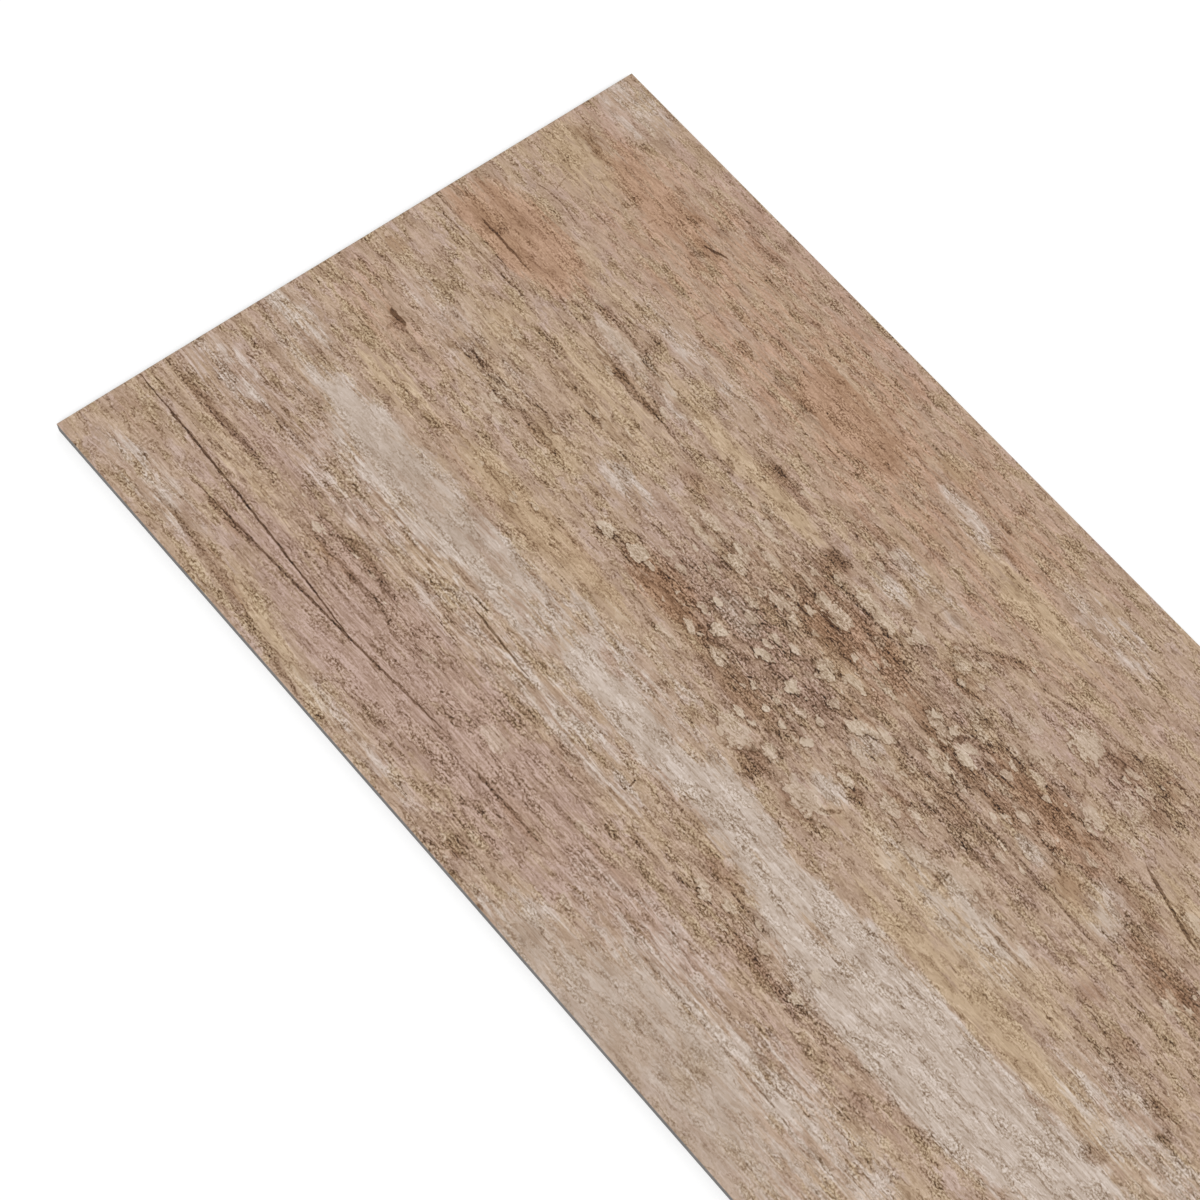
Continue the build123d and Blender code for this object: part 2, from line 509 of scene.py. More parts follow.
# Cracks, dark flecks and torn edges. A bent one also has how far its ends lie below its middle.
dark_strokes = [
    (32, 16.7, 36, 0.24, -3, 1.0, 0.5),
    (57, 13.9, 36, 0.26, 3.4, 0.9, -0.4),
    (34, 12.2, 7, 0.55, 2, 0.8, 0),
    (84, 35.5, 9, 0.28, -4, 0.9, 0),
    (15, 23.9, 19, 0.75, 0, 0.7, 0),
    (27, 32.3, 10, 0.7, 0, 0.6, 0),
    (60, 31.3, 18, 0.45, -1, 0.55, 0),
    (55, 26.6, 12, 1.1, 0, 0.55, 1.5),
    (56, 22.6, 12, 0.6, -1, 0.6, 0),
    (73, 21.2, 5, 0.45, 0, 0.6, 0),
    (14, 19.9, 14, 0.5, 0, 0.5, 0),
    (54, 19, 12, 0.35, 0, 0.5, 0.5),
    (46, 3.4, 23, 0.8, -7, 0.6, 0),
    (27, 5.3, 6, 0.5, -4, 0.5, 0),
    (24, 128.9, 4.5, 0.28, 0, 0.6, 0),
    (18, 96, 8, 0.35, -1, 0.9, 0),
    (15.5, 97.2, 0.9, 1.6, 0, 0.6, 0),
    (33, 97, 4, 0.35, -6, 0.8, 0),
    (48, 102.6, 11, 0.6, 0, 0.55, 2.4),
    (58, 101.5, 3.4, 1.2, -20, 0.5, 0),
    (39.5, 99.2, 3, 0.6, 20, 0.6, 0),
    (62, 94.3, 24, 0.42, -4.5, 0.7, 0),
    (60, 93.9, 7, 1.0, -5, 0.6, 0),
    (4, 92.4, 5, 0.4, 0, 0.65, 0),
    (27, 91, 8, 0.45, -12, 0.65, 0),
    (14, 90.2, 18, 0.28, 0, 0.6, 0),
    (46.8, 133.7, 3.4, 0.38, 22, 1.0, 0),
    (45, 130.2, 2.4, 0.8, 50, 0.65, 0),
    (38, 135.2, 2.4, 0.7, -15, 0.5, 0.6),
    (17, 139.7, 1.1, 0.8, 0, 0.7, 0),
    (19, 65.8, 2.6, 0.75, 0, 0.95, 0),
    (19.6, 63.7, 0.6, 1.8, 0, 0.55, 0),
    (56, 71.5, 7, 0.8, -4, 0.6, 0),
    (34, 73, 4.5, 1.9, 0, 0.45, 0),
    (86, 98, 2.2, 1.0, -30, 0.7, 0),
    (98, 97, 2.5, 0.9, -30, 0.6, 0),
    (93.5, 106, 1.8, 1.3, -30, 0.7, 0),
    (115, 101.6, 3.8, 1.7, 15, 0.8, 0),
    (126, 97.6, 10, 0.5, 0, 0.75, 0),
    (130, 95.2, 11, 0.9, 2, 0.55, 0),
    (137.3, 111.2, 3.2, 0.3, 80, 0.5, 0.6),
    (146, 109.8, 4.2, 0.45, 50, 0.5, -0.5),
    (152.5, 114, 5.5, 0.5, 33, 0.6, 0.5),
    (169.5, 117.6, 7.5, 0.4, 17, 0.7, 0),
    (187, 120.5, 9, 0.4, 8, 0.6, 0),
    (128.5, 126.2, 3.6, 0.45, 0, 0.8, 0),
    (139.5, 132.8, 3, 1.0, 0, 0.65, 0),
    (134, 137.6, 2.1, 0.9, 5, 0.65, 0),
    (161, 88.7, 13, 0.45, 1, 0.7, 0),
    (141, 82.2, 5.5, 0.45, 10, 0.6, -1.0),
    (190, 83.9, 27, 0.45, -1, 0.7, 0.4),
    (209.5, 101.4, 10, 0.5, -17, 0.9, 0),
    (189, 69, 6, 0.45, 0, 0.6, 0),
    (173, 68.5, 2.6, 0.7, 85, 0.6, 0),
    (108, 15.6, 9, 0.42, 0, 0.85, 0),
    (93, 15.0, 8, 0.25, 3, 0.6, 0),
    (150, 16, 7, 0.35, 0, 0.65, 0),
    (167, 15.8, 11, 0.3, -1, 0.6, 0),
    (92, 13.4, 10, 0.2, -1, 0.5, 0),
    (120.1, 36, 1.0, 0.22, 95, 0.9, 0),
    (92, 21, 1.7, 0.55, 0, 0.6, 0),
    (113, 8.2, 1.9, 0.9, 30, 0.5, 0),
    (103.5, 11, 3.2, 0.9, 15, 0.6, 0),
    (107, 4.2, 2.2, 1.6, 0, 0.6, 0),
    (130, 46, 2.6, 0.3, 20, 0.5, 0.5),
    (116, 46, 3, 0.5, 5, 0.5, 0),
    (130, 39.7, 12, 0.45, -1, 0.6, 0),
    (161, 29.8, 11, 1.1, -2, 0.45, 0),
    (130, 29.6, 6, 0.7, 0, 0.5, 0),
    (94.5, 30, 7, 0.7, 0, 0.55, 0),
    (138, 30.3, 1.5, 0.8, 0, 0.8, 0),
    (151, 68, 1.8, 1.8, 0, 0.7, 0),
    (133.5, 57.5, 3.8, 2.4, 0, 0.4, 0),
    (133, 52.5, 2.1, 1.3, 0, 0.4, 0),
    (149.5, 61.5, 2.6, 0.5, 45, 0.7, -0.5),
    (225, 53.5, 3.4, 1.6, 40, 0.55, 0),
    (83.5, 90.3, 1.5, 1.1, 0, 0.7, 0),
    (66, 87.5, 2.4, 0.8, 0, 0.5, 0),
    (50.5, 85.3, 2.8, 0.8, 0, 0.5, 0),
    (42, 88, 4.4, 1.0, 0, 0.5, 0),
    (64, 97.2, 4, 1.2, 0, 0.5, 0),
    (65, 106.2, 5, 0.9, 0, 0.5, 0),
    (77, 104.8, 4, 1.0, 0, 0.5, 0),
    (12, 47.5, 4.4, 2, 0, 0.35, 0),
    (19, 45.3, 3, 1.2, 0, 0.4, 0),
    (20, 40, 10, 0.8, -3, 0.5, 0),
    (8, 109, 1, 0.5, 0, 0.4, 0),
    (17, 113.4, 7, 0.22, 0, 0.75, 1.2),
    (13.5, 117, 2.6, 0.22, -75, 0.5, 0),
    (23.5, 116, 2.8, 0.2, 90, 0.45, 0),
    (9.3, 122.3, 2.0, 0.25, -85, 0.5, 0),
    (12, 120, 2.5, 0.25, 0, 0.5, 0),
    (28, 118, 5, 0.3, -8, 0.5, 0.7),
    (50.3, 119.8, 2.6, 0.22, 66, 0.6, 0),
    (56.8, 119.5, 2.6, 0.22, 82, 0.6, 0),
    (47, 146, 4, 0.3, 9, 0.6, 0),
    (34, 146.8, 4, 0.25, -28, 0.4, 0),
    (26, 125.2, 1.2, 0.8, 60, 0.6, 0),
    (32.5, 127, 1.6, 0.3, 80, 0.5, 0),
    (7, 130, 3, 1.2, 0, 0.4, 0),
    (106, 57.5, 20, 0.3, -17, 0.45, 1.0),
    (161, 75.5, 3, 0.8, 25, 0.6, 0),
    (165, 78, 8, 0.8, 3, 0.6, 0),
    (160, 83, 9, 0.7, 8, 0.6, 0),
    (187, 88.5, 3.6, 0.5, 0, 0.5, 0),
    (172, 88.5, 1.8, 0.8, 0, 0.6, 0),
    (233, 66, 2.2, 1.0, 60, 0.6, 0),
    (219, 70, 4, 0.8, 0, 0.5, 0),
    (182, 106.5, 3.5, 0.35, -60, 0.5, 0.5),
    (190, 112, 3, 0.3, 80, 0.35, 0.4),
    (202, 111, 4, 0.3, 5, 0.5, 0),
    (184, 26, 12, 0.4, 0, 0.45, 0),
    (198, 33.8, 9, 0.3, 0, 0.45, 0),
    (186, 42.6, 3, 0.3, 0, 0.55, 0),
    (200, 39.2, 4, 0.25, 0, 0.45, 0),
    (62, 41.5, 5, 0.4, -2, 0.4, 0),
    (53, 42, 4, 0.4, 0, 0.4, 0),
    (76, 37.7, 3, 0.3, 0, 0.5, 0),
    (32, 51, 10, 0.3, -1, 0.4, 0),
    (54, 50, 3, 0.3, 3, 0.35, 0),
    (45, 34, 7, 0.8, 4, 0.35, 0),
    (58, 36, 9, 0.4, -4, 0.4, 0),
]
pale_chips = [
    (87.5, 69, 2.4, 1.7, 0, 0.8),
    (109.5, 70.5, 1.6, 1.3, 0, 0.8),
    (119, 74, 1.8, 1.1, 20, 0.9),
    (127.5, 73.5, 1.6, 1.3, 20, 1.0),
    (122, 68, 1.1, 0.8, 0, 0.8),
    (131.5, 66.6, 0.9, 0.7, 0, 0.8),
    (137, 68, 1.3, 1.0, 0, 0.8),
    (136, 73, 1.1, 0.8, 0, 0.7),
    (144, 59.6, 5.0, 2.6, 0, 0.5),
    (133.5, 61, 2.0, 1.3, 0, 0.6),
    (80, 67.8, 2.4, 1.3, 20, 0.8),
    (129.5, 81.8, 2.2, 2.3, 0, 0.6),
    (135.5, 84.5, 3.2, 1.1, 12, 0.6),
    (114, 85, 3.6, 1.4, 15, 0.6),
    (102, 83.5, 3.0, 1.4, 10, 0.6),
    (110, 80, 2.2, 1.0, 0, 0.7),
    (122.5, 80, 1.4, 0.9, 0, 0.7),
    (100, 78.5, 1.8, 0.9, 0, 0.6),
    (135.5, 78, 1.5, 1.0, 20, 0.6),
    (122, 92.5, 5.0, 1.8, 0, 0.6),
    (153, 92, 3.4, 1.2, 0, 0.5),
    (161, 91, 3.4, 1.0, 0, 0.6),
    (143.5, 32, 1.3, 1.0, 0, 0.7),
    (167.8, 31.4, 1.4, 1.2, 0, 0.8),
    (168, 37, 1.4, 1.2, 0, 0.5),
    (158, 33.6, 1.6, 1.0, 0, 0.5),
    (148.5, 33.8, 1.6, 0.9, 0, 0.6),
    (51, 99.4, 8, 2.0, 0, 0.25),
    (177, 114, 4.4, 3.2, 0, 0.6),
    (215, 102.5, 3.4, 1.7, -15, 0.5),
    (148, 106, 2.6, 2.0, 20, 0.35),
    (156, 100, 3.0, 2.2, 10, 0.4),
    (165, 107, 3.6, 2.2, 20, 0.3),
    (187, 103, 3.0, 1.8, 0, 0.5),
    (172, 104, 3.2, 2.0, 30, 0.3),
    (191, 111, 3.4, 2.8, 0, 0.3),
    (175, 72, 6.0, 2.6, 20, 0.3),
    (166, 69, 3.2, 2.0, 0, 0.3),
    (128, 99.6, 6, 1.8, 0, 0.5),
    (106, 90, 3, 1.0, 0, 0.5),
    (92, 86, 3, 1.4, 10, 0.4),
    (97, 22, 3.2, 1.8, 0, 0.3),
    (127, 12.2, 1.6, 0.8, 0, 0.5),
    (45, 72, 5, 1.6, 0, 0.3),
    (47, 67, 5, 1.6, 0, 0.3),
    (120, 23.4, 1.8, 0.8, 0, 0.4),
    (105.2, 74.6, 1.3, 1.0, 0, 0.9),
    (112.4, 77.8, 1.8, 1.2, 0, 0.6),
    (117.6, 78.2, 1.2, 0.7, 0, 0.7),
    (126.8, 66.4, 0.9, 0.7, 0, 0.8),
    (142, 78.2, 3.0, 1.4, 30, 0.7),
    (147, 81.0, 3.4, 0.9, 30, 0.6),
    (146.5, 74.2, 3.0, 1.0, 0, 0.5),
    (147.2, 68.4, 1.8, 0.9, 0, 0.8),
    (132.4, 71.2, 1.0, 1.2, 80, 0.5),
    (101, 86.5, 2.6, 1.6, 0, 0.5),
    (93, 82.6, 4.0, 1.0, 0, 0.5),
    (100.5, 94.0, 4.4, 0.9, 0, 0.5),
    (117.8, 84.4, 1.2, 0.8, -20, 0.6),
    (98.4, 97.4, 2.4, 1.0, 0, 0.5),
    (92, 92.0, 2.0, 1.2, 0, 0.4),
    (140.6, 88.6, 3.6, 0.7, 0, 0.5),
    (157.6, 86.0, 5.0, 1.2, 0, 0.5),
    (103.6, 61.4, 3.0, 1.0, 0, 0.4),
    (125.6, 58.2, 4.0, 2.4, 0, 0.5),
    (113.2, 66.6, 2.6, 1.2, 0, 0.5),
    (138.6, 66.0, 1.6, 1.2, 0, 0.4),
    (156.4, 71.6, 2.4, 1.6, 0, 0.5),
    (151.6, 77.0, 3.0, 1.2, 0, 0.4),
    (162.4, 78.4, 2.0, 0.8, 0, 0.4),
    (169, 92.6, 3.0, 0.9, 0, 0.5),
    (177, 91.4, 2.6, 0.8, 0, 0.5),
    (183, 92.0, 2.0, 1.0, 0, 0.4),
    (160, 97.6, 2.6, 1.2, 0, 0.5),
    (167, 100.4, 2.0, 1.0, 0, 0.4),
]

# Each of these lies within some cells of the sheet's grid, with a margin round it for its ragged edge
nearly_level = 0.9
cell_faces = {}
for face in sheet.polygons:
    along = (face.center.x - low_corner[0]) * mm - print_start
    across = (face.center.y - low_corner[1]) * mm - print_start
    if 0 < along < flat_length * mm and 0 < across < flat_width * mm and face.normal.z > nearly_level:
        cell_faces[int(along // print_cells_x), int(across // print_cells_y)] = face
outside_a_stroke = (9.0, 9.0, 0.0)
margin_across = 2.6
margin_along = 1.3


def new_layers(name, count):
    """Layers of strokes, in each of which a cell of the sheet can hold a piece of one stroke."""
    return [(f"{name}_{number}", {}) for number in range(count)]


def draw_stroke(layers, x, y, half_length, half_width, turn, strength, bow=0.0):
    """Gives the corners of each cell that a stroke passes their places within it: along and across, from
    -1 to 1, and its strength."""
    cosine, sine = math.cos(math.radians(turn)), math.sin(math.radians(turn))
    room_along = half_length * margin_along + print_cells_x
    room_across = half_width * margin_across + abs(bow) + print_cells_y
    reach_x = abs(cosine) * room_along + abs(sine) * room_across + print_cells_x
    reach_y = abs(sine) * room_along + abs(cosine) * room_across + print_cells_y
    columns, lines = crossings(x, y, reach_x, reach_y)
    for column in columns:
        for line in lines:
            face = cell_faces.get((column, line))
            if face is None:
                continue
            places = []
            for corner in face.vertices:
                aside = (sheet.vertices[corner].co.x - low_corner[0]) * mm - x
                above = (sheet.vertices[corner].co.y - low_corner[1]) * mm - y
                along = (aside * cosine + above * sine) / half_length
                across = (above * cosine - aside * sine + bow * along * along) / half_width
                places.append((along, across, strength))
            lengthways = [place[0] for place in places]
            sideways = [place[1] for place in places]
            if min(lengthways) > margin_along or max(lengthways) < -margin_along:
                continue
            if min(sideways) > margin_across or max(sideways) < -margin_across:
                continue
            for name, held in layers:
                if face.index not in held:
                    held[face.index] = places
                    break


def store_layers(layers):
    """Stores the layers as attributes of the sheet's corners."""
    for name, held in layers:
        attribute = sheet.attributes.new(name, "FLOAT_VECTOR", "CORNER")
        values = []
        for face in sheet.polygons:
            for place in held.get(face.index) or [outside_a_stroke] * face.loop_total:
                values.extend(place)
        attribute.data.foreach_set("vector", values)


chip_layers = new_layers("chips", 2)
stroke_layers = new_layers("strokes", 3)
for row in along_the_plank(pale_chips, 7):
    draw_stroke(chip_layers, *row)
for row in along_the_plank(dark_strokes, 8):
    draw_stroke(stroke_layers, *row)
store_layers(chip_layers)
store_layers(stroke_layers)


# Embossing
# A press plate gives the clear wear layer the feel of old wood: shallow furrows along the grain, and
# hollows where the paint has flaked off. It only goes down from the flat face, and stops at the rim.
furrow_depth = 0.07
furrow_size = (38, 2.4)
hollow_depth = 0.05
hollow_size = (10, 4.2)
flat_rim = 4.0
crease_angle = math.radians(40)
same_place = 1e-6


def fade(tree, value, low, high, start=0.0, end=1.0):
    """Runs smoothly from start to end while the value runs from low to high."""
    feeds = {"Value": value, "From Min": low, "From Max": high, "To Min": start, "To Max": end}
    return put(tree, "ShaderNodeMapRange", feeds, interpolation_type="SMOOTHSTEP")


def grain(tree, place, along, across, seed, detail=3.0, roughness=0.55):
    """Noise with spots about this long and wide, in millimetres. It lies around 0.5."""
    feeds = {0: place, 1: (1 / along, 1 / across, 1), 2: (seed * 7.3, seed * 3.7, 0)}
    spread = put(tree, "ShaderNodeVectorMath", feeds, operation="MULTIPLY_ADD")
    feeds = {"Vector": spread, "Scale": 1.0, "Detail": detail, "Roughness": roughness}
    return put(tree, "ShaderNodeTexNoise", feeds, noise_dimensions="2D")


tree = bpy.data.node_groups.new("embossing", "GeometryNodeTree")
tree.interface.new_socket("Sheet", in_out="INPUT", socket_type="NodeSocketGeometry")
tree.interface.new_socket("Sheet", in_out="OUTPUT", socket_type="NodeSocketGeometry")
feeds = {0: put(tree, "GeometryNodeInputPosition"), 1: (mm, mm, 0)}
place = put(tree, "ShaderNodeVectorMath", feeds, operation="MULTIPLY")
spot = put(tree, "ShaderNodeSeparateXYZ", {0: place}).node.outputs
from_end = work(tree, "SUBTRACT", plank_length * mm / 2, work(tree, "ABSOLUTE", spot["X"]))
from_side = work(tree, "SUBTRACT", plank_width * mm / 2, work(tree, "ABSOLUTE", spot["Y"]))
pressed = fade(tree, work(tree, "MINIMUM", from_end, from_side), rolled_edge * mm, flat_rim)
laid_out = {
    name: put(tree, "GeometryNodeInputNamedAttribute", {"Name": name}, data_type="FLOAT")
    for name in ("grainy", "worn")
}
furrows = fade(tree, grain(tree, place, *furrow_size, 31, 3.0, 0.5), 0.52, 0.34)
furrows = work(tree, "MULTIPLY", furrows, work(tree, "MULTIPLY_ADD", laid_out["grainy"], 0.65, 0.35))
hollows = fade(tree, grain(tree, place, *hollow_size, 32, 3.0, 0.55), 0.54, 0.42)
hollows = work(tree, "MULTIPLY", hollows, laid_out["worn"])
depth = work(tree, "MULTIPLY", furrows, furrow_depth / mm)
depth = work(tree, "MULTIPLY_ADD", hollows, hollow_depth / mm, depth)
depth = work(tree, "MULTIPLY", depth, work(tree, "MULTIPLY", pressed, -1.0))
down = put(tree, "ShaderNodeCombineXYZ", {"Z": depth})
moved = put(tree, "GeometryNodeSetPosition", {"Geometry": put(tree, "NodeGroupInput"), "Offset": down})
tree.links.new(moved, tree.nodes.new("NodeGroupOutput").inputs[0])
press = plank.modifiers.new("embossing", "NODES")
press.node_group = tree
bpy.ops.object.modifier_apply(modifier="embossing")
bpy.ops.object.shade_smooth_by_angle(angle=crease_angle)


def past_flat_face(place):
    """How far outside the flat part of the printed face a place lies."""
    return max(abs(place.x) - flat_length / 2, abs(place.y) - flat_width / 2)


# The embossing's shading stops at the rim, where the edge starts to roll over
for edge in sheet.edges:
    ends = [sheet.vertices[end].co for end in edge.vertices]
    if all(abs(past_flat_face(end)) < same_place and end.z > plank_thickness / 2 for end in ends):
        edge.use_edge_sharp = True


# Bake map
# This map lays the plank out on one square picture: the printed face gets most of it, in two strips, the
# underside a narrow one, and the sides the last rows.
map_margin = 0.004
strip_height = 0.41
strip_starts = (0.005, 0.425)
underside_start = 0.845
underside_height = 0.075
side_starts = {"front": 0.93, "back": 0.954, "ends": 0.978}
side_height = 0.018
end_length = 0.48


def on_map(face, corner):
    """Where a corner of a face lies on the map."""
    x, y, z = sheet.vertices[corner].co
    along = (x - low_corner[0]) / plank_length
    across = (y - low_corner[1]) / plank_width
    full = 1 - 2 * map_margin
    if face.normal.z < -nearly_level:
        return map_margin + full * along, underside_start + underside_height * across
    outwards = past_flat_face(sheet.vertices[corner].co)
    if face.normal.z > nearly_level and outwards < same_place and abs(face.center.x) < flat_length / 2:
        if abs(face.center.y) < flat_width / 2:
            strip = int(face.center.x > 0)
            return map_margin + full * (2 * along - strip), strip_starts[strip] + strip_height * across
    girth = plank_thickness - z + (outwards if z > plank_thickness / 2 else 2 * rolled_edge - outwards)
    height = side_height * girth / (plank_thickness + 2 * rolled_edge)
    if abs(face.normal.y) > abs(face.normal.x):
        row = "front" if face.normal.y < 0 else "back"
        return map_margin + full * along, side_starts[row] + height
    start = map_margin if face.normal.x < 0 else 1 - map_margin - end_length
    return start + end_length * across, side_starts["ends"] + height


map_places = []
for face in sheet.polygons:
    for corner in face.vertices:
        map_places.extend(on_map(face, corner))
sheet.uv_layers.new(name="OFBake").data.foreach_set("uv", map_places)


# Printed film
# It lies under a clear wear layer with a matt finish, and its inks are those of the boards.
def ink(red, green, blue):
    """A printed colour, from the values that a screen shows it with."""
    shares = (value / 255 for value in (red, green, blue))
    return tuple(s / 12.92 if s <= 0.04045 else ((s + 0.055) / 1.055) ** 2.4 for s in shares) + (1.0,)


def overprint(tree, amount, under, over):
    """Lays one ink over another."""
    return put(tree, "ShaderNodeMix", {0: amount, 6: under, 7: over}, give=2, data_type="RGBA")


def wander(tree, place, along, across, seed, reach):
    """Moves places about by up to this many millimetres, so that what is drawn there gets ragged."""
    sideways = work(tree, "MULTIPLY_ADD", grain(tree, place, along, across, seed), 2 * reach, -reach)
    lengthways = grain(tree, place, along, across, seed + 5)
    lengthways = work(tree, "MULTIPLY_ADD", lengthways, 4 * reach, -2 * reach)
    step = put(tree, "ShaderNodeCombineXYZ", {"X": lengthways, "Y": sideways})
    return put(tree, "ShaderNodeVectorMath", {0: place, 1: step}, operation="ADD")


def stored(tree, name, give="Fac"):
    """What the sheet holds under a name."""
    return put(tree, "ShaderNodeAttribute", give=give, attribute_name=name)


def swing(tree, value, by):
    """Noise as a swing to both sides of nothing."""
    return work(tree, "MULTIPLY_ADD", value, 2 * by, -by)


printed_film = bpy.data.materials.new("printed_film")
printed_film.use_nodes = True
tree = printed_film.node_tree
shader = tree.nodes["Principled BSDF"]
feeds = {
    "Vector": put(tree, "ShaderNodeTexCoord", give="Object"),
    "Location": (plank_length / 2 * mm, plank_width / 2 * mm, 0),
    "Scale": (mm, mm, 0),
}
place = put(tree, "ShaderNodeMapping", feeds, vector_type="POINT")
ragged_place = wander(tree, place, 3.0, 1.6, 2, 0.9)
line_place = wander(tree, place, 42, 10, 8, 1.6)

washed, ochre_share = stored(tree, "washed"), stored(tree, "ochre")
rusty_share, rosy_share = stored(tree, "rusty"), stored(tree, "rosy")
worn, grainy = stored(tree, "worn"), stored(tree, "grainy")
brown_share, even = stored(tree, "brown"), stored(tree, "even")

# Fibres of the wood
long_fibres = grain(tree, line_place, 24, 0.62, 9, 5.0, 0.72)
short_fibres = grain(tree, line_place, 4.6, 0.34, 10, 3.0, 0.7)
dots = grain(tree, place, 0.5, 0.4, 6, 2.0, 0.6)
dabs = grain(tree, ragged_place, 3.4, 1.0, 17, 4.0, 0.66)

# Ground colours, mottled and stained
board_beige = ink(184, 157, 135)
wash_white = ink(200, 183, 169)
ochre = ink(193, 167, 136)
rust = ink(181, 143, 115)
umber = ink(150, 114, 84)
bare_brown = ink(168, 136, 110)
rose = ink(180, 151, 136)
rosy_grey = ink(186, 161, 150)
olive = ink(184, 161, 126)
even_beige = ink(182, 162, 145)

soft_spots = grain(tree, line_place, 26, 7, 3, 3.0, 0.62)
colour = overprint(tree, fade(tree, soft_spots, 0.44, 0.68, 0.0, 0.5), board_beige, ochre)
rose_spots = grain(tree, line_place, 20, 5, 4, 3.0, 0.62)
colour = overprint(tree, fade(tree, rose_spots, 0.48, 0.7, 0.0, 0.5), colour, rose)
cloud = grain(tree, ragged_place, 9, 3.4, 12, 5.0, 0.7)
patches = grain(tree, ragged_place, 11, 3.6, 13, 5.0, 0.66)
colour = overprint(tree, fade(tree, cloud, 0.5, 0.64, 0.0, 0.55), colour, rosy_grey)
colour = overprint(tree, fade(tree, patches, 0.5, 0.64, 0.0, 0.5), colour, olive)
streaky_cloud = work(tree, "ADD", swing(tree, cloud, 0.9), swing(tree, long_fibres, 0.8))
ragged_worn = work(tree, "MULTIPLY_ADD", fade(tree, worn, 0.0, 0.25), streaky_cloud, worn)
worn = fade(tree, ragged_worn, 0.05, 1.15)


def stained(colour, share, strength, over, thin=0.0, thick=0.65):
    """Stains the colour where the share is high, with edges as cloudy and streaky as old paint."""
    edge = work(tree, "MULTIPLY_ADD", fade(tree, share, 0.0, 0.3), streaky_cloud, share)
    return overprint(tree, fade(tree, edge, thin, thick, 0.0, strength), colour, over)


colour = stained(colour, rosy_share, 0.8, rose)
colour = stained(colour, rusty_share, 0.8, rust)
colour = stained(colour, ochre_share, 0.85, ochre)
colour = stained(colour, washed, 0.88, wash_white, 0.02, 0.62)
colour = stained(colour, worn, 0.25, bare_brown)
colour = stained(colour, brown_share, 0.6, umber)
colour = overprint(tree, fade(tree, even, 0.5, 1.0, 0.0, 0.6), colour, even_beige)

# Tone, as shares of the shown brightness
long_fibre_swing = 0.28
short_fibre_swing = 0.16
dot_swing = 0.22
cloud_swing = 0.07
dab_swing = 0.22
grain_depth = work(tree, "MULTIPLY_ADD", grainy, 0.75, 0.3)
tone = work(tree, "MULTIPLY", swing(tree, long_fibres, long_fibre_swing), grain_depth)
short_depth = work(tree, "ADD", grain_depth, 0.45)
tone = work(tree, "MULTIPLY_ADD", swing(tree, short_fibres, short_fibre_swing), short_depth, tone)
tooth = work(tree, "MULTIPLY_ADD", worn, 0.85, fade(tree, patches, 0.4, 0.6, 0.45, 1.25))
thick_paint = work(tree, "ADD", washed, ochre_share)
tooth = work(tree, "MAXIMUM", work(tree, "MULTIPLY_ADD", thick_paint, -0.5, tooth), 0.2)
tone = work(tree, "MULTIPLY_ADD", swing(tree, dots, dot_swing), tooth, tone)
tone = work(tree, "ADD", tone, swing(tree, cloud, cloud_swing))
roughness_of_print = work(tree, "MULTIPLY_ADD", worn, 0.6, 0.4)
tone = work(tree, "MULTIPLY_ADD", swing(tree, dabs, dab_swing), roughness_of_print, tone)

# Speckle: dark dots, closest where the paint is thin
speckle_tone = -0.13
patchy = fade(tree, work(tree, "MULTIPLY_ADD", worn, 0.16, patches), 0.48, 0.64)
dark_dots = fade(tree, dots, 0.58, 0.36)
tone = work(tree, "MULTIPLY_ADD", work(tree, "MULTIPLY", dark_dots, patchy), speckle_tone, tone)

# Scribbles: narrow blots along the grain, in which the wood shows as close dark hatching
calmed_by = 0.45
blots = fade(tree, grain(tree, ragged_place, 6.0, 1.3, 24, 4.0, 0.6), 0.54, 0.6)
blots = work(tree, "MULTIPLY", blots, work(tree, "MULTIPLY_ADD", washed, -0.6, 1.0))
hatching = work(tree, "MULTIPLY_ADD", fade(tree, dots, 0.6, 0.42), -0.2, -0.02)
tone = work(tree, "MULTIPLY_ADD", blots, hatching, tone)
tone = work(tree, "MULTIPLY", tone, work(tree, "MULTIPLY_ADD", even, -calmed_by, 1.0))

# Flakes: the paint has come off in layers, each with a dark rim on one side and a pale one on the other
paint_layers = 7.0
usual_layer = 3.9
flake_step = (0.2, -0.32, 0)


def paint_left(at):
    """The paint's skin at a place, how thick that is, in layers, and its wrinkles."""
    skin = work(tree, "MULTIPLY_ADD", worn, -0.2, grain(tree, at, 9.0, 3.2, 5, 5.0, 0.58))
    thickness = work(tree, "MULTIPLY", skin, paint_layers)
    whole = work(tree, "FLOOR", thickness)
    step = fade(tree, work(tree, "SUBTRACT", thickness, whole), 0.0, 0.1)
    return skin, work(tree, "ADD", whole, step), grain(tree, at, 1.9, 0.7, 18, 3.0, 0.66)


skin_here, layers_here, wrinkles_here = paint_left(ragged_place)
beside = put(tree, "ShaderNodeVectorMath", {0: ragged_place, 1: flake_step}, operation="ADD")
mottled = fade(tree, grainy, 0.1, 0.8, 0.035, 0.01)
tone = work(tree, "MULTIPLY_ADD", work(tree, "SUBTRACT", layers_here, usual_layer), mottled, tone)
_, layers_beside, wrinkles_beside = paint_left(beside)
rim_light = work(tree, "SUBTRACT", layers_beside, layers_here)
rim_light = work(tree, "MINIMUM", work(tree, "MAXIMUM", rim_light, -1.0), 0.6)
rim_strength = work(tree, "MULTIPLY_ADD", worn, 0.17, fade(tree, patches, 0.42, 0.6, 0.1, 0.22))
rim_strength = work(tree, "MULTIPLY", rim_strength, work(tree, "MULTIPLY_ADD", even, -0.5, 1.0))
tone = work(tree, "MULTIPLY_ADD", rim_light, rim_strength, tone)
